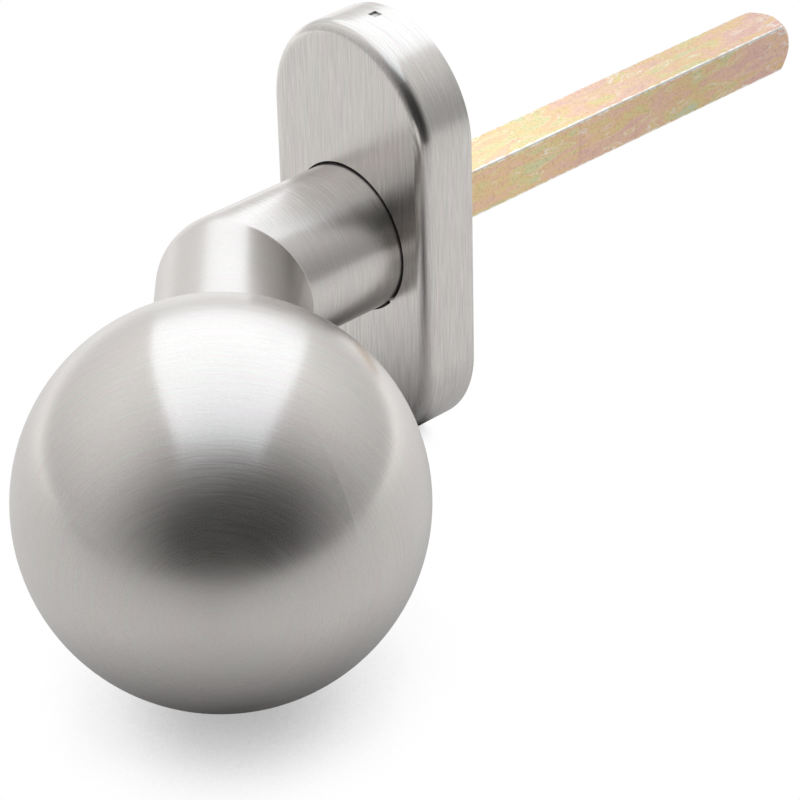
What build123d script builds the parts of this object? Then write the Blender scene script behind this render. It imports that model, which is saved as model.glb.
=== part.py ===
from build123d import *
import os
from math import cos, radians, sin, sqrt, tan

# Fixed door knob: a hollow ball on a cranked tube neck, standing on an oval rose.
# The origin is where the spindle's axis meets the door's face. -Y is towards the hand,
# +Y is into the door, +Z is up along the rose. Heights are measured from the door's face
# towards the hand, so a height h lies at y = -h.

# Rose cover, pressed from sheet
rose_length = 68.0
rose_width = 33.0
rose_depth = 9.5
cover_wall = 1.2
cover_edge_radius = 2.0
cover_hole_gap = 0.35
window_width = 1.6
window_height = 1.5
window_from_door = 2.4

# Ball, welded from two pressed halves and ground
ball_diameter = 55.0
ball_wall = 1.8

# Neck, a tube cut at a mitre, welded, and ground round on the outside of the bend
neck_diameter = 22.8
neck_wall = 2.0
bend_height = 32.0
bend_angle = 47.5
bend_to_ball = 55.5
neck_stand_in = 1.2

# Hub, the turned plug in the neck's end
hub_to_bend = 3.6
tail_diameter = 14.0
tail_set_back = 0.2
tail_lip = 0.7
hub_edge = 0.6
web_clearance = 0.05

# Retaining ring and washer on the hub's tail
ring_thickness = 1.0
ring_width = 2.1
ring_opening = 4.4
ring_lug_diameter = 3.4
ring_lug_hole = 1.4
ring_lug_angle = 26.0
groove_depth = 0.3
groove_play = 0.1
washer_thickness = 0.5
washer_width = 2.6

# Spindle, square bar with a turned end, and its pin
spindle_size = 8.0
spindle_corner = 0.4
spindle_reach = 86.0
spindle_cone = 3.5
spindle_tip_radius = 2.5
socket_clearance = 0.05
socket_floor = 4.0
pin_diameter = 3.0
pin_wall = 0.6
pin_slit = 0.5
pin_shortfall = 0.2

# Guide ring and locking pin between neck and plate
guide_wall = 0.7
guide_clearance = 0.05
guide_slit = 2.2
lock_diameter = 1.5
lock_bite = 0.35
lock_angle = -48.0
lock_edge = 0.2

# Base plate, cast
plate_gap = 0.15
plate_floor = 3.0
plate_web = 2.0
rim_wall = 1.6
rim_drop = 2.3
collar_wall = 1.85
recess_gap = 0.4
screw_from_end = 9.0
screw_hole = 5.3
screw_head = 9.6
screw_head_angle = 90.0
boss_wall = 1.0
boss_drop = 1.3
rib_width = 2.2
nib_play = 0.2
nib_set_back = 0.3

# Radii that the pieces share
neck_radius = neck_diameter / 2
neck_bore = neck_radius - neck_wall
ball_radius = ball_diameter / 2
ball_bore = ball_radius - ball_wall
cover_hole = neck_radius + cover_hole_gap
guide_bore = neck_radius + guide_clearance
guide_outer = guide_bore + guide_wall
collar_bore = guide_outer + guide_clearance
collar_outer = collar_bore + collar_wall
tail_radius = tail_diameter / 2
ring_bore = tail_radius - groove_depth
ring_outer = ring_bore + ring_width
washer_bore = tail_radius + web_clearance
washer_outer = washer_bore + washer_width
lug_reach = ring_outer + ring_lug_diameter / 2
recess_radius = lug_reach + recess_gap
pin_radius = pin_diameter / 2
lock_radius = lock_diameter / 2
lock_circle = collar_bore + lock_bite - lock_radius
boss_radius = screw_head / 2 + boss_wall
half_diagonal = spindle_size / sqrt(2)
socket_size = spindle_size + 2 * socket_clearance

# Heights that the pieces share, from the door's face towards the hand
groove_height = tail_set_back + tail_lip
ring_height = groove_height + groove_play
washer_height = ring_height + ring_thickness
web_back = washer_height + washer_thickness
neck_seat = web_back + plate_web
cover_inside = rose_depth - cover_wall
rim_top = cover_inside - rim_drop
boss_top = cover_inside - boss_drop
bend_inside = bend_height - neck_bore * tan(radians(bend_angle / 2))
hub_front = bend_inside - hub_to_bend
spindle_front = hub_front - socket_floor
pin_height = (neck_seat + spindle_front) / 2
nib_height = window_height - nib_play

# The crank turns sideways, level, towards +X
crank = (sin(radians(bend_angle)), -cos(radians(bend_angle)), 0)
bend_point = (0, -bend_height, 0)
ball_centre = (bend_to_ball * crank[0], -bend_height + bend_to_ball * crank[1], 0)
neck_end_from_ball = sqrt(ball_bore**2 - neck_radius**2) - neck_stand_in
neck_length = bend_to_ball - neck_end_from_ball

# Planes parallel to the door face the hand
door = Plane.XZ
leg = Plane(origin=bend_point, x_dir=(0, 0, 1), z_dir=crank)


# The cover is a drawn cap: a slot-shaped block with a soft front edge, hollowed from behind
with BuildPart() as rose_cover:
    with BuildSketch(door):
        SlotOverall(rose_length, rose_width, rotation=90)
    extrude(amount=rose_depth)
    front = rose_cover.faces().sort_by(Axis.Y)[0]
    fillet(front.edges(), radius=cover_edge_radius)
    back = rose_cover.faces().sort_by(Axis.Y)[-1]
    offset(amount=-cover_wall, openings=back)
    with BuildSketch(door.offset(cover_inside)):
        Circle(cover_hole)
    extrude(amount=cover_wall, mode=Mode.SUBTRACT)
    # One square punch gives the window at each end of the side wall
    with BuildSketch(Plane.XY):
        with Locations((0, -window_from_door - window_height / 2)):
            Rectangle(window_width, window_height)
    extrude(amount=rose_length, both=True, mode=Mode.SUBTRACT)
rose_cover.part.label = "rose_cover"


# The plate fills the cover: floor, rim, collar, two screw bosses, ribs and the snap nibs
plate_length = rose_length - 2 * (cover_wall + plate_gap)
plate_width = rose_width - 2 * (cover_wall + plate_gap)
nib_reach = rose_length / 2 - nib_set_back
screw_height = rose_length / 2 - screw_from_end
screw_points = ((0, screw_height), (0, -screw_height))
with BuildPart() as base_plate:
    with BuildSketch(door):
        SlotOverall(plate_length, plate_width, rotation=90)
    extrude(amount=plate_floor)
    with BuildSketch(door):
        SlotOverall(plate_length, plate_width, rotation=90)
        offset(amount=-rim_wall, mode=Mode.SUBTRACT)
    extrude(amount=rim_top)
    with BuildSketch(door):
        Rectangle(rib_width, plate_length - rim_wall)
    extrude(amount=rim_top)
    with BuildSketch(Plane.XY):
        with Locations((0, -window_from_door - nib_height / 2)):
            Rectangle(window_width - nib_play, nib_height)
    extrude(amount=nib_reach, both=True)
    with BuildSketch(door):
        with Locations(*screw_points):
            Circle(boss_radius)
        SlotOverall(plate_length, plate_width, rotation=90, mode=Mode.INTERSECT)
    extrude(amount=boss_top)
    with BuildSketch(door):
        Circle(collar_outer)
        SlotOverall(plate_length, plate_width, rotation=90, mode=Mode.INTERSECT)
    extrude(amount=cover_inside)
    # Seat for the neck and its guide ring, hole for the hub's tail, recess behind it
    with BuildSketch(door.offset(neck_seat)):
        Circle(collar_bore)
    extrude(amount=cover_inside - neck_seat, mode=Mode.SUBTRACT)
    with BuildSketch(door):
        Circle(washer_bore)
    extrude(amount=neck_seat, mode=Mode.SUBTRACT)
    with BuildSketch(door):
        Circle(recess_radius)
    extrude(amount=web_back, mode=Mode.SUBTRACT)
    # Half-round keyway for the locking pin
    with BuildSketch(door.offset(neck_seat)):
        with PolarLocations(lock_circle, 1, start_angle=lock_angle):
            Circle(lock_radius)
    extrude(amount=cover_inside - neck_seat, mode=Mode.SUBTRACT)
    with Locations(door.offset(boss_top)):
        with Locations(*screw_points):
            CounterSinkHole(
                screw_hole / 2, screw_head / 2, depth=boss_top, counter_sink_angle=screw_head_angle
            )
base_plate.part.label = "base_plate"


# The neck is one tube with a keyway beside its door end. The inside of its bend is a sharp
# crease, and the outside is round, like part of a ball as wide as the tube
with BuildPart() as cranked_neck:
    with BuildSketch(door.offset(neck_seat)):
        Circle(neck_radius)
    extrude(amount=bend_height - neck_seat)
    with BuildSketch(leg):
        Circle(neck_radius)
    extrude(amount=neck_length)
    with Locations(bend_point):
        Sphere(neck_radius)
    with BuildSketch(door.offset(neck_seat)):
        Circle(neck_bore)
    extrude(amount=bend_height - neck_seat, mode=Mode.SUBTRACT)
    with BuildSketch(leg):
        Circle(neck_bore)
    extrude(amount=neck_length, mode=Mode.SUBTRACT)
    with Locations(bend_point):
        Sphere(neck_bore, mode=Mode.SUBTRACT)
    with BuildSketch(door.offset(neck_seat)):
        with PolarLocations(lock_circle, 1, start_angle=lock_angle):
            Circle(lock_radius)
    extrude(amount=cover_inside - neck_seat, mode=Mode.SUBTRACT)
cranked_neck.part.label = "cranked_neck"


# The ball is a thin shell with one round hole, where the neck stands in it
with BuildPart() as ball:
    with Locations(ball_centre):
        Sphere(ball_radius)
        Sphere(ball_bore, mode=Mode.SUBTRACT)
    with BuildSketch(leg):
        Circle(neck_radius)
    extrude(amount=bend_to_ball, mode=Mode.SUBTRACT)
ball.part.label = "ball"


# The hub is turned: a plug in the neck's bore, a tail through the plate, a ring groove
with BuildPart() as hub:
    with BuildSketch(door.offset(neck_seat)):
        Circle(neck_bore)
    extrude(amount=hub_front - neck_seat)
    chamfer(hub.edges().sort_by(Axis.Y)[0], length=hub_edge)
    with BuildSketch(door.offset(tail_set_back)):
        Circle(tail_radius)
    extrude(amount=neck_seat - tail_set_back)
    with BuildSketch(door.offset(groove_height)):
        Circle(tail_radius)
        Circle(ring_bore, mode=Mode.SUBTRACT)
    extrude(amount=ring_thickness + groove_play, mode=Mode.SUBTRACT)
    # Broached square socket, open to the door
    with BuildSketch(door):
        Rectangle(socket_size, socket_size)
    extrude(amount=spindle_front, mode=Mode.SUBTRACT)
    with BuildSketch(Plane.XY):
        with Locations((0, -pin_height)):
            Circle(pin_radius)
    extrude(amount=neck_radius, both=True, mode=Mode.SUBTRACT)
hub.part.label = "hub"


# The spindle is square bar with broken corners, coned at the far end, cross-drilled
with BuildPart() as spindle:
    with BuildSketch(door.offset(-spindle_reach)):
        RectangleRounded(spindle_size, spindle_size, spindle_corner)
    extrude(amount=spindle_reach + spindle_front)
    with BuildSketch(Plane.XY):
        with BuildLine():
            Polyline(
                (spindle_tip_radius, spindle_reach),
                (half_diagonal, spindle_reach),
                (half_diagonal, spindle_reach - spindle_cone),
                close=True,
            )
        make_face()
    revolve(axis=Axis.Y, mode=Mode.SUBTRACT)
    with BuildSketch(Plane.XY):
        with Locations((0, -pin_height)):
            Circle(pin_radius)
    extrude(amount=spindle_size, both=True, mode=Mode.SUBTRACT)
spindle.part.label = "spindle"


# Spring pin: a rolled tube with a slit along it
pin_half_length = neck_bore - pin_shortfall
with BuildPart() as spindle_pin:
    with BuildSketch(Plane.XY):
        with Locations((0, -pin_height)):
            Circle(pin_radius)
            Circle(pin_radius - pin_wall, mode=Mode.SUBTRACT)
        with Locations((pin_radius, -pin_height)):
            Rectangle(pin_diameter, pin_slit, mode=Mode.SUBTRACT)
    extrude(amount=pin_half_length, both=True)
spindle_pin.part.label = "spindle_pin"


# Flat washer between the plate's web and the retaining ring
with BuildPart() as washer:
    with BuildSketch(door.offset(washer_height)):
        Circle(washer_outer)
        Circle(washer_bore, mode=Mode.SUBTRACT)
    extrude(amount=washer_thickness)
washer.part.label = "washer"


# Retaining ring: an open ring with two eyed lugs, its opening downwards
with BuildPart() as retaining_ring:
    with BuildSketch(door.offset(ring_height)):
        Circle(ring_outer)
        for lug_angle in (-90 - ring_lug_angle, -90 + ring_lug_angle):
            with PolarLocations(ring_outer, 1, start_angle=lug_angle):
                Circle(ring_lug_diameter / 2)
                Circle(ring_lug_hole / 2, mode=Mode.SUBTRACT)
        Circle(ring_bore, mode=Mode.SUBTRACT)
        with Locations((0, -lug_reach)):
            Rectangle(ring_opening, 2 * (lug_reach - tail_radius / 2), mode=Mode.SUBTRACT)
    extrude(amount=ring_thickness)
retaining_ring.part.label = "retaining_ring"


# Guide ring: a plastic sleeve between neck and collar, slit for the locking pin
with BuildPart() as guide_ring:
    with BuildSketch(door.offset(neck_seat)):
        Circle(guide_outer)
    extrude(amount=cover_inside - neck_seat)
    with BuildSketch(door.offset(neck_seat)):
        Circle(guide_bore)
        with PolarLocations(neck_radius, 1, start_angle=lock_angle):
            Rectangle(neck_radius, guide_slit)
    extrude(amount=cover_inside - neck_seat, mode=Mode.SUBTRACT)
guide_ring.part.label = "guide_ring"


# Locking pin: lies half in the neck and half in the collar, along the neck
with BuildPart() as locking_pin:
    with BuildSketch(door.offset(neck_seat)):
        with PolarLocations(lock_circle, 1, start_angle=lock_angle):
            Circle(lock_radius)
    extrude(amount=cover_inside - neck_seat)
    chamfer(locking_pin.edges().sort_by(Axis.Y)[0], length=lock_edge)
locking_pin.part.label = "locking_pin"


pieces = (
    ball,
    cranked_neck,
    rose_cover,
    guide_ring,
    locking_pin,
    base_plate,
    hub,
    washer,
    retaining_ring,
    spindle,
    spindle_pin,
)
os.makedirs("parts", exist_ok=True)
for piece in pieces:
    export_step(piece.part, f"parts/{piece.part.label}.step")
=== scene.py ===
# %% [markdown]
# # A satin steel door knob
#
# The object is a fixed knob for a narrow door: a hollow ball on a cranked tube, standing on an
# oval rose, with a yellow square bar behind that goes through the lock. It could be modelled
# from nothing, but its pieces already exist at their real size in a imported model. So this lesson
# loads that model as a fixed frame, and spends its time on what a camera sees: the light, the
# brushed steel, the plating and the one weld that a hand has ground round.

# %% Load the frame
from math import atan2, cos, degrees, pi, radians, sin, sqrt, tan

import bpy
from mathutils import Matrix, Vector


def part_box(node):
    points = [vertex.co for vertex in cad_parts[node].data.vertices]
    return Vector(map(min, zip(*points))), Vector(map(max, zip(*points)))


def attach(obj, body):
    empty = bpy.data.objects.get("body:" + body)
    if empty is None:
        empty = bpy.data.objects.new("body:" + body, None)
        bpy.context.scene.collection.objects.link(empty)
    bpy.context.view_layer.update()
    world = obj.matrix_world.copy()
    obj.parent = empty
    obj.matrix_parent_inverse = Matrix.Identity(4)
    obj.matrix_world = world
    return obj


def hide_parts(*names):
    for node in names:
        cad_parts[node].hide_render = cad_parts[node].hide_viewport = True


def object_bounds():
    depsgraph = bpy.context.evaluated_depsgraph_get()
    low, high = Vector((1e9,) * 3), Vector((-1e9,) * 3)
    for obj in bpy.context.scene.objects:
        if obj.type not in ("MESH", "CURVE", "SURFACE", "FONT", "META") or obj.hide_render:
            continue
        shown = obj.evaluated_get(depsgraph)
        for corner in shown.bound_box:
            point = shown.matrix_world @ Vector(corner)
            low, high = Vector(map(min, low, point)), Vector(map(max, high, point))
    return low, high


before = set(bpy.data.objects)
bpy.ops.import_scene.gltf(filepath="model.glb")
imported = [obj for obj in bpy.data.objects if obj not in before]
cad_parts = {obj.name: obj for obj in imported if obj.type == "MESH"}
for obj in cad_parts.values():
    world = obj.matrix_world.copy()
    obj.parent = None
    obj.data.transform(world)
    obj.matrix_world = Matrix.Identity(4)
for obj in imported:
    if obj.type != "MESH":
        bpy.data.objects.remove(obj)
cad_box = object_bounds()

MM = 0.001
print("pieces in the frame:", ", ".join(sorted(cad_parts)))
print("size in mm:", [round((high - low) / MM, 1) for low, high in zip(*cad_box)])

# %% [markdown]
# ## Sizes that the looks share
#
# The door's face is the plane y = 0 and the hand is on the -Y side. Most places can be read from
# the frame's own boxes, such as the middle of the ball. Only the place where the neck turns can't,
# so it is the one length that is written here.

# %% Places on the knob
bend_height = 32.0 * MM
low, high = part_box("ball")
ball_centre = (low + high) / 2
ball_radius = (high.x - low.x) / 2
bend_point = Vector((0, -bend_height, 0))
door_leg = Vector((0, -1, 0))
ball_leg = (ball_centre - bend_point).normalized()
mitre_normal = (door_leg + ball_leg).normalized()
neck_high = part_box("cranked_neck")[1]
neck_radius = neck_high.z
print("ball centre in mm:", [round(v / MM, 2) for v in ball_centre])
print("bend in degrees:", round(degrees(door_leg.angle(ball_leg)), 2))

# %% [markdown]
# ## Camera
#
# The photograph was taken with a long lens from a good half metre, to the right of the knob and
# above it. The camera could be aimed with a constraint, but the picture is also tilted by a
# degree and a half. So its own three axes are worked out from two angles and that roll, and they
# become the columns of its rotation.

# %% Camera
view_azimuth = radians(47.579)
view_elevation = radians(31.854)
view_roll = radians(-1.45)
view_distance = 518.571 * MM
view_target = Vector((-0.159, 0, -32.933)) * MM
focal_length = 150.39

to_camera = Vector((
    sin(view_azimuth) * cos(view_elevation),
    -cos(view_azimuth) * cos(view_elevation),
    sin(view_elevation),
))
level_right = Vector((cos(view_azimuth), sin(view_azimuth), 0))
level_up = to_camera.cross(level_right)
camera_right = level_right * cos(view_roll) + level_up * sin(view_roll)
camera_up = to_camera.cross(camera_right)

camera = bpy.data.objects.new("camera", bpy.data.cameras.new("camera"))
bpy.context.scene.collection.objects.link(camera)
bpy.context.scene.camera = camera
camera.data.lens = focal_length
camera.data.clip_start = 10 * MM
camera.matrix_world = Matrix.Translation(view_target + view_distance * to_camera) @ Matrix(
    (camera_right, camera_up, to_camera)
).transposed().to_4x4()
bpy.context.scene.view_settings.view_transform = "Standard"
print("camera at mm:", [round(v / MM, 1) for v in camera.matrix_world.translation])

# %% [markdown]
# ## One helper for node trees
#
# Every material here is a node tree, and a tree written out call by call is hard to read. One
# helper adds any node: its settings are keyword arguments, each socket is given a plain value or
# another node's output to link, and the output that the next node needs comes back. A colour ramp
# also takes its stops. Colours are written as a designer reads them, in sRGB hex, and are turned
# to the linear values that a renderer adds up.

# %% Node and colour helpers
def linear(hex_colour):
    channels = [int(hex_colour[i:i + 2], 16) / 255 for i in (1, 3, 5)]
    return [c / 12.92 if c <= 0.04045 else ((c + 0.055) / 1.055) ** 2.4 for c in channels] + [1.0]


def grey(level):
    return (level, level, level, 1.0)


def grey_stops(levels, full=1.0):
    """A ramp's stops from pairs of a place, on a scale up to full, and a brightness"""
    return [(place / full, grey(level)) for place, level in levels]


def add_node(tree, kind, sockets=None, output=0, stops=(), **settings):
    node = tree.nodes.new("ShaderNode" + kind)
    for name, value in settings.items():
        setattr(node, name, value)
    for socket, value in (sockets or {}).items():
        if isinstance(value, bpy.types.NodeSocket):
            tree.links.new(value, node.inputs[socket])
        else:
            node.inputs[socket].default_value = value
    for _ in stops[2:]:
        node.color_ramp.elements.new(0.5)
    for index, (position, colour) in enumerate(stops):
        node.color_ramp.elements[index].position = position
        node.color_ramp.elements[index].color = colour
    return node.outputs[output] if len(node.outputs) else node


print("a warm steel grey is", [round(c, 3) for c in linear("#D9D3CE")], "to the renderer")

# %% [markdown]
# ## Studio
#
# The knob was photographed in a light tent: white cloth all round, one long soft box overhead
# that slopes down behind the table, and a dark opening in front for the camera. Polished or
# brushed metal has hardly any colour of its own, so that room is most of what makes it look like
# steel. The cloth and the opening are a world whose brightness depends only on the direction
# looked in. Camera rays see plain white instead.

# %% The tent and its opening
up = Vector((0, 0, 1))
level_front = Vector((sin(view_azimuth), -cos(view_azimuth), 0))
opening_azimuth = radians(10)
opening_elevation = radians(18)
opening_side = level_front * cos(opening_azimuth) + level_right * sin(opening_azimuth)
opening_axis = opening_side * cos(opening_elevation) + up * sin(opening_elevation)
# The opening is wider than it is high, so angles from its middle count for more up and down
opening_squash = 1.5
opening_up = (up - opening_axis * opening_axis.z).normalized()
# Brightness of the cloth by the angle from the middle of the opening, in degrees
tent_levels = (
    (0, 0.04), (25, 0.05), (35, 0.08), (46, 0.21), (58, 0.38),
    (74, 0.66), (92, 0.8), (112, 0.88), (150, 1.12),
)
# The cloth's skirt is dimmer than its ceiling, by the height that a direction rises to
skirt_height, ceiling_height = 0.1, 0.65
skirt_light, ceiling_light = 0.76, 1.15
print("opening faces:", [round(v, 2) for v in opening_axis])

# %% World
world = bpy.data.worlds.new("light_tent")
bpy.context.scene.world = world
world.use_nodes = True
tree = world.node_tree
tree.nodes.clear()
direction = add_node(tree, "TexCoord", output="Generated")
climb = add_node(
    tree, "VectorMath", {0: direction, 1: opening_up * (opening_squash - 1)},
    operation="DOT_PRODUCT", output="Value",
)
climbed = add_node(tree, "VectorMath", {0: opening_up, "Scale": climb}, operation="SCALE")
stretched = add_node(tree, "VectorMath", {0: direction, 1: climbed}, operation="ADD")
stretched = add_node(tree, "VectorMath", {0: stretched}, operation="NORMALIZE")
facing = add_node(
    tree, "VectorMath", {0: stretched, 1: opening_axis}, operation="DOT_PRODUCT", output="Value"
)
angle = add_node(tree, "Math", {0: facing}, operation="ARCCOSINE")
half_turns = add_node(tree, "Math", {0: angle, 1: pi}, operation="DIVIDE")
cloth = add_node(tree, "ValToRGB", {"Fac": half_turns}, stops=grey_stops(tent_levels, full=180))
height = add_node(tree, "SeparateXYZ", {0: direction}, output="Z")
strength = add_node(
    tree, "MapRange",
    {
        "Value": height, "From Min": skirt_height, "From Max": ceiling_height,
        "To Min": skirt_light, "To Max": ceiling_light,
    },
)
cloth_light = add_node(tree, "Background", {"Color": cloth, "Strength": strength})
white_light = add_node(tree, "Background", {"Color": grey(1.0), "Strength": 1.0})
seen = add_node(tree, "LightPath", output="Is Camera Ray")
mixed = add_node(tree, "MixShader", {0: seen, 1: cloth_light, 2: white_light})
add_node(tree, "OutputWorld", {"Surface": mixed})
print("tent stops:", len(tent_levels))

# %% [markdown]
# The soft box shows in the ball as a bright patch with straight sides. It could be painted on the
# world as well, but it hangs only half a metre away, where the ball and the rose see it in
# different directions, so it is a lamp. A narrow strip on its right side shines brighter, and that
# is a second lamp in the same plane.

# %% Overhead soft box
soft_box_distance = 0.55
soft_box_slope = radians(20)
box_up = up * cos(soft_box_slope) - level_front * sin(soft_box_slope)
box_forward = level_front * cos(soft_box_slope) + up * sin(soft_box_slope)
# How far its sides reach, as shares of its distance
box_left, box_right = -0.48, 0.64
box_back, box_front = -1.2, 1.07
soft_box_radiance = 0.58
edge_left, edge_front = 0.58, 0.9
edge_radiance = 1.3
soft_box_tint = (0.82, 0.91, 1.0)


def soft_light(name, left, right, back, front, radiance):
    lamp = bpy.data.lights.new(name, "AREA")
    lamp.shape = "RECTANGLE"
    lamp.size = (right - left) * soft_box_distance
    lamp.size_y = (front - back) * soft_box_distance
    lamp.energy = radiance * pi * lamp.size * lamp.size_y
    lamp.color = soft_box_tint
    stand = bpy.data.objects.new(name, lamp)
    bpy.context.scene.collection.objects.link(stand)
    place = ball_centre + soft_box_distance * (
        box_up + level_right * (left + right) / 2 + box_forward * (back + front) / 2
    )
    stand.matrix_world = Matrix.Translation(place) @ Matrix(
        (level_right, -box_forward, box_up)
    ).transposed().to_4x4()
    stand.visible_camera = False
    print(name, "in m:", round(lamp.size, 2), "by", round(lamp.size_y, 2))


soft_light("overhead_soft_box", box_left, box_right, box_back, box_front, soft_box_radiance)
soft_light("soft_box_edge", edge_left, box_right, box_back, edge_front, edge_radiance)

# %% [markdown]
# ## Floor
#
# The knob stands over a white table, and all that shows of the table is the shade under the ball.
# A lit white plane would work, but it would take the whole light set-up to bring it to an even
# white. So the paper on it shines by itself. The plane ends before the camera, as a real table
# does, and that edge shows in the steel.

# %% Floor
table_depth = 1.6
table_front = 0.36
table_half_width = 1.4
bpy.ops.object.select_all(action="DESELECT")
bpy.ops.mesh.primitive_plane_add(size=1, location=(0, 0, 0))
floor = bpy.context.object
floor.name = "floor"
floor.data.transform(Matrix.Diagonal((2 * table_half_width, table_depth + table_front, 1, 1)))
floor.data.transform(Matrix.Translation((0, (table_depth - table_front) / 2, 0)))
floor.data.transform(Matrix.Rotation(view_azimuth, 4, "Z"))
floor.data.transform(Matrix.Translation((0, 0, cad_box[0].z)))
print("floor at mm:", round(cad_box[0].z / MM, 2))

# %% [markdown]
# Matt white paper sends back the light of the sky that each spot of it can see, so its own light
# follows ambient occlusion, which measures just that. It needs two brightnesses, and Light Path
# tells the rays apart. Looked at, it is white but for the shade of the ball. In the steel it is
# darker towards the camera and under the knob. There the node's normal leans back, so that the
# sky behind the knob, where most of the light comes from, counts for more.

# %% Table paper as it is looked at
sky_reach = 90 * MM
sky_samples = 16
# Brightness by the share of the sky that a spot sees
seen_levels = ((0.05, 0.2), (0.3, 0.37), (0.38, 0.6), (0.47, 0.83), (0.57, 1.0))
# The shade belongs to the ball: away from it, less sky is enough for full white
shade_start, shade_end = 35 * MM, 60 * MM
shade_lift = 0.25

paper = bpy.data.materials.new("white_table_paper")
paper.use_nodes = True
tree = paper.node_tree
tree.nodes.clear()
point = add_node(tree, "TexCoord", output="Object")
open_sky = add_node(
    tree, "AmbientOcclusion", {"Distance": sky_reach}, samples=sky_samples, output="AO"
)
ball_foot = Vector((ball_centre.x, ball_centre.y, cad_box[0].z))
away = add_node(
    tree, "VectorMath", {0: point, 1: ball_foot}, operation="DISTANCE", output="Value"
)
lift = add_node(
    tree, "MapRange",
    {
        "Value": away, "From Min": shade_start, "From Max": shade_end,
        "To Min": 0.0, "To Max": shade_lift,
    },
)
lifted = add_node(tree, "Math", {0: open_sky, 1: lift}, operation="ADD")
shade = add_node(tree, "ValToRGB", {"Fac": lifted}, stops=grey_stops(seen_levels))
seen_glow = add_node(tree, "Emission", {"Color": shade, "Strength": 1.0})
print("paper levels looked at:", len(seen_levels))

# %% Table paper as the steel mirrors it
sky_lean = radians(35)
mirrored_levels = ((0.35, 0.0), (0.5, 0.24), (0.7, 0.6), (0.88, 1.0))
# The table's light falls off from this far behind the knob to this far in front of it, in metres
falloff_back, falloff_front = -0.3, 0.3
table_back_light, table_front_light = 1.2, 0.42

lean = up * cos(sky_lean) - level_front * sin(sky_lean)
leaning = add_node(tree, "CombineXYZ", {"X": lean.x, "Y": lean.y, "Z": lean.z})
open_behind = add_node(
    tree, "AmbientOcclusion", {"Distance": sky_reach, "Normal": leaning},
    samples=sky_samples, output="AO",
)
mirrored = add_node(tree, "ValToRGB", {"Fac": open_behind}, stops=grey_stops(mirrored_levels))
forward = add_node(
    tree, "VectorMath", {0: point, 1: level_front}, operation="DOT_PRODUCT", output="Value"
)
falloff = add_node(
    tree, "MapRange",
    {
        "Value": forward, "From Min": falloff_back, "From Max": falloff_front,
        "To Min": table_back_light, "To Max": table_front_light,
    },
)
mirrored_glow = add_node(tree, "Emission", {"Color": mirrored, "Strength": falloff})
seen = add_node(tree, "LightPath", output="Is Camera Ray")
glow = add_node(tree, "MixShader", {0: seen, 1: mirrored_glow, 2: seen_glow})
add_node(tree, "OutputMaterial", {"Surface": glow})
floor.data.materials.append(paper)
print("paper levels mirrored:", len(mirrored_levels))

# %% [markdown]
# ## Neck
#
# The real neck is one tube, sawn at a slant, turned over and welded. The welder grinds the outside
# of the bend round on a belt and leaves the inside as a crease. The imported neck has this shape,
# but its crease is perfectly sharp and so is the corner where it meets the ball, while real weld
# metal leaves a small hollow in both. So this piece takes its place. A curve with a round bevel
# would bend smoothly and lose the crease. The tube starts as a circle that is extruded past the
# bend, cut on the mitre plane, extruded on along the other leg and cut square near the ball.

# %% Neck tube
neck_sides = 192
weld_hollow = 0.8 * MM
half_bend = door_leg.angle(ball_leg) / 2
neck_door_end = neck_high.y
# A hollow of this radius touches neck and ball, and starts this far from the ball's centre
hollow_height = sqrt((ball_radius + weld_hollow) ** 2 - (neck_radius + weld_hollow) ** 2)
bpy.ops.object.select_all(action="DESELECT")
bpy.ops.mesh.primitive_circle_add(
    vertices=neck_sides, radius=neck_radius, location=(0, neck_door_end, 0), rotation=(pi / 2, 0, 0)
)
neck = bpy.context.object
neck.name = "neck"
bpy.ops.object.transform_apply(location=True, rotation=True, scale=True)
bpy.ops.object.mode_set(mode="EDIT")
bpy.ops.mesh.select_all(action="SELECT")
past_the_bend = bend_height + neck_door_end + 4 * neck_radius
bpy.ops.mesh.extrude_region_move(TRANSFORM_OT_translate={"value": door_leg * past_the_bend})
bpy.ops.mesh.select_all(action="SELECT")
bpy.ops.mesh.bisect(plane_co=bend_point, plane_no=mitre_normal, clear_outer=True)
past_the_ball = 2 * (ball_centre - bend_point).length
bpy.ops.mesh.extrude_region_move(TRANSFORM_OT_translate={"value": ball_leg * past_the_ball})
bpy.ops.mesh.select_all(action="SELECT")
bpy.ops.mesh.bisect(
    plane_co=ball_centre - ball_leg * hollow_height, plane_no=ball_leg, clear_outer=True
)
print("neck skin starts at y =", round(neck_door_end / MM, 2), "mm")
print("and ends", round(hollow_height / MM, 2), "mm from the ball's centre")

# %% [markdown]
# The bisect leaves the rim at the ball selected. Extruding it in small steps, each a little wider,
# follows the arc of the weld's hollow until it lies on the ball. The last step goes straight on
# into the ball's wall, so that no gap can show. A last cut across the door leg adds a ring of
# edges, so that the keyway, which is cut later, changes only the short faces behind it.

# %% Weld at the ball
hollow_steps = 6
weld_root = 0.4 * MM
pin_low, pin_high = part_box("locking_pin")
hollow_angle = atan2(hollow_height, neck_radius + weld_hollow)
rim_height, rim_radius = hollow_height, neck_radius
for step in range(1, hollow_steps + 1):
    turn = hollow_angle * step / hollow_steps
    next_height = hollow_height - weld_hollow * sin(turn)
    next_radius = neck_radius + weld_hollow * (1 - cos(turn))
    bpy.ops.mesh.extrude_region_move(
        TRANSFORM_OT_translate={"value": ball_leg * (rim_height - next_height)}
    )
    bpy.ops.transform.resize(
        value=[next_radius / rim_radius] * 3, center_override=ball_centre - ball_leg * next_height
    )
    rim_height, rim_radius = next_height, next_radius
bpy.ops.mesh.extrude_region_move(TRANSFORM_OT_translate={"value": ball_leg * weld_root})
bpy.ops.mesh.select_all(action="SELECT")
bpy.ops.mesh.bisect(plane_co=(0, pin_low.y - weld_hollow, 0), plane_no=door_leg)
bpy.ops.mesh.select_all(action="SELECT")
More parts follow.
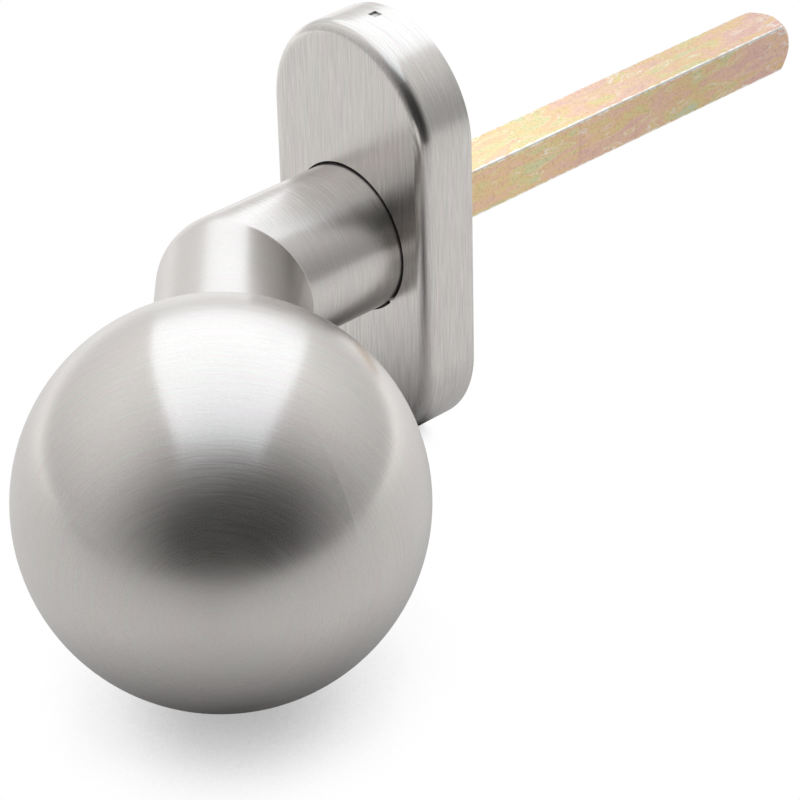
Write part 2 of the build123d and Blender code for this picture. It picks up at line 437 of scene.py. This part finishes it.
bpy.ops.mesh.normals_make_consistent(inside=False)
bpy.ops.object.mode_set(mode="OBJECT")
weld_reach = sqrt(rim_height**2 + rim_radius**2)
print("weld meets the ball", round(weld_reach / MM, 2), "mm from its centre")

# %% [markdown]
# A bevel modifier rounds the seam, and each edge of the seam has its own bevel weight. Where a
# bevel reaches back along a tube by the tangent of half the bend, times the distance from the
# neck's middle plane, it turns the two tubes into a ball as thick as they are. The modifier
# measures square to the seam and not along the tube, so the weight allows for the slant. On the
# inside of the bend only the weld's small hollow is left. The profile is a little over a half,
# because the arc of a half is too flat where two faces meet at a wide angle.

# %% Neck seam
seam_rows = 20
seam_profile = 0.55
crease_hollow = 0.5 * MM
on_the_seam = 0.001 * MM
outer_side = (door_leg - ball_leg).normalized()
weights = neck.data.attributes.new("bevel_weight_edge", "FLOAT", "EDGE")
for edge in neck.data.edges:
    start, end = [neck.data.vertices[index].co - bend_point for index in edge.vertices]
    if max(abs(start.dot(mitre_normal)), abs(end.dot(mitre_normal))) < on_the_seam:
        reach = outer_side.dot(start + end) / 2 * cos(half_bend)
        slant = sin(door_leg.angle(end - start))
        weights.data[edge.index].value = slant * max(reach, crease_hollow) / neck_radius
bpy.ops.object.modifier_add(type="BEVEL")
seam = neck.modifiers[-1]
seam.width = neck_radius * tan(half_bend)
seam.segments = seam_rows
seam.profile = seam_profile
seam.limit_method = "WEIGHT"
seam.use_clamp_overlap = False
bpy.ops.object.modifier_apply(modifier=seam.name)
elbow = [v.co - bend_point for v in neck.data.vertices]
elbow = [arm.length / MM for arm in elbow if arm.dot(door_leg) > 0 and arm.dot(ball_leg) < 0]
print("outer bend:", round(min(elbow), 2), "to", round(max(elbow), 2), "mm from the bend's centre")

# %% [markdown]
# Solidify gives the tube its wall, and a boolean cuts the half-round keyway for the locking pin.
# The weighted normals come last: they let the long smooth faces keep their own direction beside
# the narrow rows of the bend, which would smear a dark streak along the tube otherwise.

# %% Neck wall and keyway
neck_wall = 2.0 * MM
drill_sides = 32
sharp_from = radians(25)
pin_middle = (pin_low + pin_high) / 2
pin_radius = (pin_high.x - pin_low.x) / 2
bpy.ops.object.modifier_add(type="SOLIDIFY")
neck.modifiers[-1].thickness = neck_wall
neck.modifiers[-1].offset = -1
bpy.ops.object.modifier_apply(modifier=neck.modifiers[-1].name)
bpy.ops.object.select_all(action="DESELECT")
bpy.ops.mesh.primitive_cylinder_add(
    vertices=drill_sides, radius=pin_radius, depth=2 * (pin_high.y - pin_low.y),
    location=(pin_middle.x, pin_high.y, pin_middle.z), rotation=(pi / 2, 0, 0),
)
drill = bpy.context.object
bpy.ops.object.select_all(action="DESELECT")
bpy.context.view_layer.objects.active = neck
neck.select_set(True)
bpy.ops.object.modifier_add(type="BOOLEAN")
neck.modifiers[-1].operation = "DIFFERENCE"
neck.modifiers[-1].object = drill
bpy.ops.object.modifier_apply(modifier=neck.modifiers[-1].name)
bpy.data.objects.remove(drill)
bpy.ops.object.shade_smooth_by_angle(angle=sharp_from)
bpy.ops.object.modifier_add(type="WEIGHTED_NORMAL")
neck.modifiers[-1].keep_sharp = True
bpy.ops.object.modifier_apply(modifier=neck.modifiers[-1].name)
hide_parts("cranked_neck")
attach(neck, "root")
print("neck:", len(neck.data.polygons), "faces")

# %% [markdown]
# ## Brushed steel
#
# Satin stainless steel is dressed with an abrasive belt, which leaves fine parallel scratches.
# They blur a reflection across themselves and hardly along themselves, so a soft box shows soft
# ends and crisp sides. The shader's anisotropy does the blur and needs to know the direction that
# crosses the grain. A noise pulled out along the grain gives the scratches that the eye can see.
# Each piece was turned another way under the belt, so each has its own grain function.

# %% Sizes of the grain
# A real belt scratch is about 0.05 mm wide. It is drawn coarser, so that it shows in the render.
scratch_width = 0.2 * MM
scratch_length = 5 * MM
scratch_depth, scratch_relief = 0.03 * MM, 0.03
grit_size, grit_contrast = 0.14 * MM, 0.06
blotch_size = 9 * MM
# Roughness wanders by this much, and grows by this much where scratches cross
gloss_wander, crossing_blur = 0.02, 0.13
# Painted reflection: scratches at slightly different angles pick up different tints of the room, painted
# into the base colour, three at a time
cool_room_reflection, warm_room_reflection = "#D8D7D1", "#DAD3D2"
reflection_tint_scratches = 3.0
# Blender's noise hardly leaves this range
noise_low, noise_high = 0.3, 0.7


def new_material(name):
    material = bpy.data.materials.new(name)
    material.use_nodes = True
    material.node_tree.nodes.clear()
    return material, material.node_tree


def wavering(tree, point, size, low, high):
    """A value that wanders between low and high over spots of this size"""
    noise = add_node(tree, "TexNoise", {"Vector": point, "Scale": 1 / size}, output="Fac")
    limits = {"Value": noise, "From Min": noise_low, "From Max": noise_high, "To Min": low, "To Max": high}
    return add_node(tree, "MapRange", limits)


print("scratches in mm:", round(scratch_width / MM, 2), "by", round(scratch_length / MM, 2))

# %% Brushed steel
def brushed_steel(name, grain, roughness, anisotropy, contrast):
    """grain(tree, point) gives the scratches' coordinates, the way across them and their strength"""
    material, tree = new_material(name)
    point = add_node(tree, "TexCoord", output="Object")
    coordinates, across, strength = grain(tree, point)
    scratches = wavering(tree, coordinates, 1.0, -1.0, 1.0)
    scratches = add_node(tree, "Math", {0: scratches, 1: strength}, operation="MULTIPLY")
    grit = wavering(tree, point, grit_size, -grit_contrast, grit_contrast)
    tone = add_node(tree, "Math", {0: scratches, 1: contrast, 2: grit}, operation="MULTIPLY_ADD")
    tone = add_node(tree, "Math", {0: tone, 1: 1.0}, operation="ADD")
    # Painted reflection: a slow noise along the grain mixes the room's two tints into the base colour
    share = wavering(tree, coordinates, reflection_tint_scratches, 0.0, 1.0)
    painted_reflection_tint = add_node(
        tree, "Mix", {0: share, 6: linear(cool_room_reflection), 7: linear(warm_room_reflection)},
        data_type="RGBA", output=2,
    )
    base = add_node(tree, "VectorMath", {0: painted_reflection_tint, "Scale": tone}, operation="SCALE")
    rough = wavering(tree, point, blotch_size, roughness - gloss_wander, roughness + gloss_wander)
    rough = add_node(tree, "Math", {0: scratches, 1: gloss_wander, 2: rough}, operation="MULTIPLY_ADD")
    crossed = add_node(tree, "Math", {0: 1.0, 1: strength}, operation="SUBTRACT")
    rough = add_node(tree, "Math", {0: crossed, 1: crossing_blur, 2: rough}, operation="MULTIPLY_ADD")
    normal = add_node(
        tree, "Bump", {"Height": scratches, "Strength": scratch_relief, "Distance": scratch_depth}
    )
    # A grain that is as strong everywhere leaves the plain number on the shader's own socket
    one_way = anisotropy
    if strength != 1.0:
        one_way = add_node(tree, "Math", {0: strength, 1: anisotropy}, operation="MULTIPLY")
    shader = add_node(
        tree, "BsdfPrincipled",
        {
            "Base Color": base, "Metallic": 1.0, "Roughness": rough, "Anisotropic": one_way,
            "Tangent": across, "Normal": normal,
        },
    )
    add_node(tree, "OutputMaterial", {"Surface": shader})
    print("material:", name)
    return material


# %% [markdown]
# The ball was spun on the axis of its hole while the belt ran over it, so its scratches are
# circles about that axis, like circles of latitude. Each scratch lies at one angle from the pole.
# That angle, times the radius, is the distance that the belt's grit spreads over. At the pole the
# belt crosses its own path again and again, and the circles fade.

# %% Ball steel
pole_fade = radians(45)
pole_strength = 0.2


def ball_grain(tree, point):
    arm = add_node(tree, "VectorMath", {0: point, 1: ball_centre}, operation="SUBTRACT")
    along = add_node(
        tree, "VectorMath", {0: arm, 1: ball_leg / ball_radius}, operation="DOT_PRODUCT", output="Value"
    )
    polar = add_node(tree, "Math", {0: along}, operation="ARCCOSINE")
    row = add_node(tree, "Math", {0: polar, 1: ball_radius / scratch_width}, operation="MULTIPLY")
    rows = add_node(tree, "VectorMath", {0: ball_leg, "Scale": row}, operation="SCALE")
    slow = add_node(tree, "VectorMath", {0: arm, "Scale": 1 / scratch_length}, operation="SCALE")
    coordinates = add_node(tree, "VectorMath", {0: rows, 1: slow}, operation="ADD")
    limits = {
        "Value": polar, "From Min": 0.0, "From Max": pole_fade,
        "To Min": pole_strength, "To Max": 1.0,
    }
    strength = add_node(tree, "MapRange", limits)
    across = add_node(tree, "CombineXYZ", {"X": ball_leg.x, "Y": ball_leg.y, "Z": ball_leg.z})
    return coordinates, across, strength


ball_steel = brushed_steel(
    "ball_stainless_belt_brushed", ball_grain, roughness=0.23, anisotropy=0.8, contrast=0.032
)
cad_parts["ball"].material_slots[0].material = ball_steel

# %% [markdown]
# The neck's tube was spun under the belt too, before it was sawn. So the scratches go round each
# leg of it, and they change direction at the seam. The leg at the ball was dressed once more by
# hand after welding, which crosses its scratches: it blurs a reflection more evenly all round.
# The two finishes meet sharply in the crease and run into each other over the ground elbow.

# %% Neck steel
seam_mix, elbow_mix = 0.8 * MM, 8 * MM
hand_dressed = 0.35


def neck_grain(tree, point):
    arm = add_node(tree, "VectorMath", {0: point, 1: bend_point}, operation="SUBTRACT")
    past = add_node(
        tree, "VectorMath", {0: arm, 1: mitre_normal}, operation="DOT_PRODUCT", output="Value"
    )
    outer = add_node(
        tree, "VectorMath", {0: arm, 1: outer_side}, operation="DOT_PRODUCT", output="Value"
    )
    limits = {
        "Value": outer, "From Min": -neck_radius / 2, "From Max": neck_radius,
        "To Min": seam_mix, "To Max": elbow_mix,
    }
    mix = add_node(tree, "MapRange", limits)
    past = add_node(tree, "Math", {0: past, 1: mix}, operation="DIVIDE")
    share = add_node(tree, "MapRange", {"Value": past, "From Min": -1.0, "From Max": 1.0})
    axis = add_node(
        tree, "Mix", {0: share, 4: door_leg, 5: ball_leg}, data_type="VECTOR", output=1
    )
    along = add_node(tree, "VectorMath", {0: arm, 1: axis}, operation="DOT_PRODUCT", output="Value")
    row = add_node(tree, "Math", {0: along, 1: scratch_width}, operation="DIVIDE")
    rows = add_node(tree, "VectorMath", {0: axis, "Scale": row}, operation="SCALE")
    slow = add_node(tree, "VectorMath", {0: arm, "Scale": 1 / scratch_length}, operation="SCALE")
    coordinates = add_node(tree, "VectorMath", {0: rows, 1: slow}, operation="ADD")
    strength = add_node(tree, "Mix", {0: share, 2: 1.0, 3: hand_dressed})
    return coordinates, axis, strength


neck_steel = brushed_steel(
    "neck_stainless_belt_brushed", neck_grain, roughness=0.24, anisotropy=0.8, contrast=0.06
)
neck.data.materials.append(neck_steel)
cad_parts["cranked_neck"].material_slots[0].material = neck_steel

# %% [markdown]
# The rose's face was brushed lengthwise and its side wall round the edge. A point is on the wall
# where the surface hardly faces the hand, and the grain is switched by that, half way round the
# pressed edge.

# %% Rose steel
wall_facing, face_facing = -0.65, -0.75


def rose_grain(tree, point):
    normal = add_node(tree, "TexCoord", output="Normal")
    facing = add_node(tree, "SeparateXYZ", {0: normal}, output="Y")
    on_face = add_node(
        tree, "MapRange", {"Value": facing, "From Min": wall_facing, "From Max": face_facing}
    )
    lengthwise = (scratch_width, scratch_width, scratch_length)
    round_edge = (scratch_length, scratch_width, scratch_length)
    on_front = add_node(tree, "VectorMath", {0: point, 1: lengthwise}, operation="DIVIDE")
    on_wall = add_node(tree, "VectorMath", {0: point, 1: round_edge}, operation="DIVIDE")
    coordinates = add_node(
        tree, "Mix", {0: on_face, 4: on_wall, 5: on_front}, data_type="VECTOR", output=1
    )
    across = add_node(
        tree, "Mix", {0: on_face, 4: (0, 1, 0), 5: (1, 0, 0)}, data_type="VECTOR", output=1
    )
    return coordinates, across, 1.0


rose_steel = brushed_steel(
    "rose_stainless_belt_brushed", rose_grain, roughness=0.22, anisotropy=0.78, contrast=0.1
)
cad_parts["rose_cover"].material_slots[0].material = rose_steel

# %% [markdown]
# ## Yellow chromate
#
# The spindle is steel bar, zinc plated and dipped in yellow chromate. The film on it is thin enough
# to split light as oil on water does, so its colour follows its thickness: pink where the bath
# drained away, then gold, then green where it stood. The tints could be painted by hand, but a
# noise stays sharp close up and has no seams. So one warped noise, drawn out along the bar, is the
# thickness.

# %% Thickness of the film
film_length, film_width = 9 * MM, 2.2 * MM
flow_detail, flow_warp = 2.0, 1.2
film_swing = 0.34
mottle_size, film_mottle = 0.9 * MM, 0.07
# Thickness of the film along the bar, by the depth into the door in mm
film_along = ((0, 0.5), (34, 0.52), (37, 0.32), (48, 0.36), (62, 0.58), (70, 0.45), (76, 0.14))
film_depth = 100

film, tree = new_material("spindle_zinc_yellow_chromated")
point = add_node(tree, "TexCoord", output="Object")
drawn_out = add_node(
    tree, "VectorMath", {0: point, 1: (film_width, film_length, film_width)}, operation="DIVIDE"
)
flow = add_node(
    tree, "TexNoise",
    {"Vector": drawn_out, "Scale": 1.0, "Detail": flow_detail, "Distortion": flow_warp},
    output="Fac",
)
swing = add_node(
    tree, "MapRange",
    {
        "Value": flow, "From Min": noise_low, "From Max": noise_high,
        "To Min": -film_swing, "To Max": film_swing,
    },
)
axes = add_node(tree, "SeparateXYZ", {0: point}).node.outputs
depth = add_node(tree, "Math", {0: axes["Y"], 1: film_depth * MM}, operation="DIVIDE")
drained = add_node(
    tree, "ValToRGB", {"Fac": depth}, stops=grey_stops(film_along, full=film_depth)
)
mottle = wavering(tree, point, mottle_size, -film_mottle, film_mottle)
thickness = add_node(tree, "Math", {0: drained, 1: swing}, operation="ADD")
thickness = add_node(tree, "Math", {0: thickness, 1: mottle}, operation="ADD")
print("film stops along the bar:", len(film_along))

# %% [markdown]
# A colour ramp turns the thickness into tints. Whitish threads run where a drop dried, which is
# where the noise passes one level, and a second noise breaks them up. Small dark specks are pits
# in the drawn bar that show through the film.

# %% Colours of the film
film_colours = (
    (0.05, "#E6BFB2"), (0.25, "#EBC8B0"), (0.42, "#EAC9A0"),
    (0.6, "#E6D09C"), (0.78, "#DAD6A8"), (0.95, "#D0D8C0"),
)
thread_colour, speck_colour = "#F3EEE6", "#B09A80"
thread_level, thread_width = 0.52, 0.03
thread_gap = 5 * MM
speck_size = 0.35 * MM

colour = add_node(
    tree, "ValToRGB", {"Fac": thickness},
    stops=[(place, linear(hex_colour)) for place, hex_colour in film_colours],
)
off_level = add_node(tree, "Math", {0: flow, 1: thread_level}, operation="SUBTRACT")
off_level = add_node(tree, "Math", {0: off_level}, operation="ABSOLUTE")
broken = wavering(tree, point, thread_gap, -0.4, 1.0)
thread = add_node(
    tree, "MapRange",
    {
        "Value": off_level, "From Min": 0.0, "From Max": thread_width,
        "To Min": broken, "To Max": 0.0,
    },
)
colour = add_node(
    tree, "Mix", {0: thread, 6: colour, 7: linear(thread_colour)}, data_type="RGBA", output=2
)
specks = wavering(tree, point, speck_size, -0.4, 0.35)
colour = add_node(
    tree, "Mix", {0: specks, 6: colour, 7: linear(speck_colour)}, data_type="RGBA", output=2
)
print("film colours:", len(film_colours))

# %% [markdown]
# Handling rubs the film off the bar's four corners, unevenly, and leaves bright zinc. A corner is
# where both sides of the square are far from the axis, so the smaller of the two distances tells
# it. The stop of the dipping rack left one faint line across the two sides.

# %% Rubbed corners and the stop's mark
rubbed_colour, mark_colour = "#F7F5F0", "#C09A88"
# Distances from the bar's axis, whose sides lie at 4 mm
rub_start, rub_end = 3.54 * MM, 3.78 * MM
side_start, side_end = 3.7 * MM, 3.9 * MM
uneven_size, rub_uneven = 1.2 * MM, 0.17 * MM
stop_mark = 35.5 * MM
mark_core, mark_edge = 0.05 * MM, 0.4 * MM
mark_strength = 0.3

sideways = add_node(tree, "Math", {0: axes["X"]}, operation="ABSOLUTE")
upright = add_node(tree, "Math", {0: axes["Z"]}, operation="ABSOLUTE")
corner = add_node(tree, "Math", {0: sideways, 1: upright}, operation="MINIMUM")
uneven = wavering(tree, point, uneven_size, -rub_uneven, rub_uneven)
corner = add_node(tree, "Math", {0: corner, 1: uneven}, operation="ADD")
rubbed = add_node(tree, "MapRange", {"Value": corner, "From Min": rub_start, "From Max": rub_end})
from_mark = add_node(tree, "Math", {0: axes["Y"], 1: stop_mark}, operation="SUBTRACT")
from_mark = add_node(tree, "Math", {0: from_mark}, operation="ABSOLUTE")
mark = add_node(
    tree, "MapRange",
    {
        "Value": from_mark, "From Min": mark_core, "From Max": mark_edge,
        "To Min": mark_strength, "To Max": 0.0,
    },
)
on_side = add_node(
    tree, "MapRange", {"Value": sideways, "From Min": side_start, "From Max": side_end}
)
mark = add_node(tree, "Math", {0: mark, 1: on_side}, operation="MULTIPLY")
colour = add_node(
    tree, "Mix", {0: mark, 6: colour, 7: linear(mark_colour)}, data_type="RGBA", output=2
)
colour = add_node(
    tree, "Mix", {0: rubbed, 6: colour, 7: linear(rubbed_colour)}, data_type="RGBA", output=2
)
print("corners rubbed from", round(rub_start / MM, 2), "mm off the axis")

# %% [markdown]
# The film scatters light more than the bare corners do, and small pits break up its gloss. The colour is
# also
# scaled along the bar: a little lighter near the rose, which is painted light, and darker towards the far
# end, which is painted shade.

# %% Spindle shader
# Painted light and shade along the bar: the colour is scaled from the first tone at the first depth to the
# second tone at the second
painted_tone_from, painted_tone_to = 20 * MM, 60 * MM
near_rose_lit_tone, far_end_shaded_tone = 1.06, 0.84
film_smoothest, film_roughest, rubbed_roughness = 0.38, 0.46, 0.3
pit_depth, pit_relief = 0.02 * MM, 0.25

painted_tone_along = add_node(
    tree, "MapRange",
    {
        "Value": axes["Y"], "From Min": painted_tone_from, "From Max": painted_tone_to,
        "To Min": near_rose_lit_tone, "To Max": far_end_shaded_tone,
    },
)
colour = add_node(tree, "VectorMath", {0: colour, "Scale": painted_tone_along}, operation="SCALE")
rough = wavering(tree, point, speck_size, film_smoothest, film_roughest)
rough = add_node(tree, "Mix", {0: rubbed, 2: rough, 3: rubbed_roughness})
pits = wavering(tree, point, speck_size, 0.0, 1.0)
normal = add_node(tree, "Bump", {"Height": pits, "Strength": pit_relief, "Distance": pit_depth})
shader = add_node(
    tree, "BsdfPrincipled",
    {"Base Color": colour, "Metallic": 1.0, "Roughness": rough, "Normal": normal},
)
add_node(tree, "OutputMaterial", {"Surface": shader})
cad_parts["spindle"].material_slots[0].material = film
print("material:", film.name)

# %% [markdown]
# ## The pieces inside the rose
#
# Most of these hardly show, but the lesson's knob may be taken apart. Each one is a single grain
# that wavers in tone, in gloss and in height, and what differs is how that grain was made: even
# where metal or plastic froze in a mould, drawn out along a rolled or drawn piece, and in rings
# where a lathe's tool passed. So one function makes them all, with the grain's own coordinates.

# %% Patterns of the grain
drawn_stretch, rolled_stretch, ring_stretch = 0.04, 0.05, 0.02


def even(tree, point):
    return point


def drawn(tree, point):
    return add_node(tree, "VectorMath", {0: point, 1: (1, drawn_stretch, 1)}, operation="MULTIPLY")


def rolled(tree, point):
    return add_node(tree, "VectorMath", {0: point, 1: (1, 1, rolled_stretch)}, operation="MULTIPLY")


def turned_rings(tree, point):
    flat = add_node(tree, "VectorMath", {0: point, 1: (1, 0, 1)}, operation="MULTIPLY")
    radius = add_node(tree, "VectorMath", {0: flat}, operation="LENGTH", output="Value")
    depth = add_node(tree, "SeparateXYZ", {0: point}, output="Y")
    row = add_node(tree, "Math", {0: radius, 1: depth}, operation="ADD")
    slow = add_node(tree, "VectorMath", {0: point, "Scale": ring_stretch}, operation="SCALE")
    return add_node(tree, "VectorMath", {0: slow, 1: row}, operation="ADD")


print("a drawn grain is", round(1 / drawn_stretch), "times as long as wide")

# %% Grained materials
gloss_swing = 0.15
grain_relief = 0.3


def grained(node_name, name, pattern, size, dark, light, roughness, height, metallic=1.0):
    material, tree = new_material(name)
    point = add_node(tree, "TexCoord", output="Object")
    grain = wavering(tree, pattern(tree, point), size, 0.0, 1.0)
    stops = [(0.0, linear(dark)), (1.0, linear(light))]
    base = add_node(tree, "ValToRGB", {"Fac": grain}, stops=stops)
    limits = {
        "Value": grain, "To Min": roughness * (1 + gloss_swing), "To Max": roughness * (1 - gloss_swing),
    }
    rough = add_node(tree, "MapRange", limits)
    normal = add_node(tree, "Bump", {"Height": grain, "Strength": grain_relief, "Distance": height})
    shader = add_node(
        tree, "BsdfPrincipled",
        {"Base Color": base, "Metallic": metallic, "Roughness": rough, "Normal": normal},
    )
    add_node(tree, "OutputMaterial", {"Surface": shader})
    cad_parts[node_name].material_slots[0].material = material
    print("material:", name, "with grains of", round(size / MM, 2), "mm")


# %% Inner materials
# Zinc die casting: frozen against a steel mould, so a bright skin with a faint cast grain
grained(
    "base_plate", "base_plate_zinc_die_casting", even, size=0.6 * MM,
    dark="#C6C6C2", light="#D8D8D4", roughness=0.5, height=0.02 * MM,
)
# Turned steel: fine rings about the axis, drawn coarser than the tool's real feed of 0.08 mm
grained(
    "hub", "hub_turned_steel", turned_rings, size=0.25 * MM,
    dark="#B5B3B0", light="#CFCDCA", roughness=0.28, height=0.01 * MM,
)
# Drawn steel wire: lines along the pin, and so smooth that its end catches the light
grained(
    "locking_pin", "locking_pin_drawn_steel", drawn, size=0.15 * MM,
    dark="#E4E2DE", light="#F2F1EE", roughness=0.14, height=0.004 * MM,
)
# Rolled strip: lines one way across the washer
grained(
    "washer", "washer_rolled_steel", rolled, size=0.2 * MM,
    dark="#BDBCB9", light="#D6D5D2", roughness=0.3, height=0.008 * MM,
)
# Phosphated spring steel: dark grey crystals that scatter the light
grained(
    "retaining_ring", "retaining_ring_phosphated_steel", even, size=0.2 * MM,
    dark="#2E2F31", light="#47494C", roughness=0.5, height=0.01 * MM,
)
grained(
    "spindle_pin", "spindle_pin_phosphated_steel", even, size=0.2 * MM,
    dark="#333436", light="#4C4E51", roughness=0.48, height=0.01 * MM,
)
# Moulded nylon: black, with the fine spark-eroded grain of its mould
grained(
    "guide_ring", "guide_ring_black_nylon", even, size=0.3 * MM,
    dark="#0E0E0F", light="#161617", roughness=0.5, height=0.02 * MM, metallic=0.0,
)
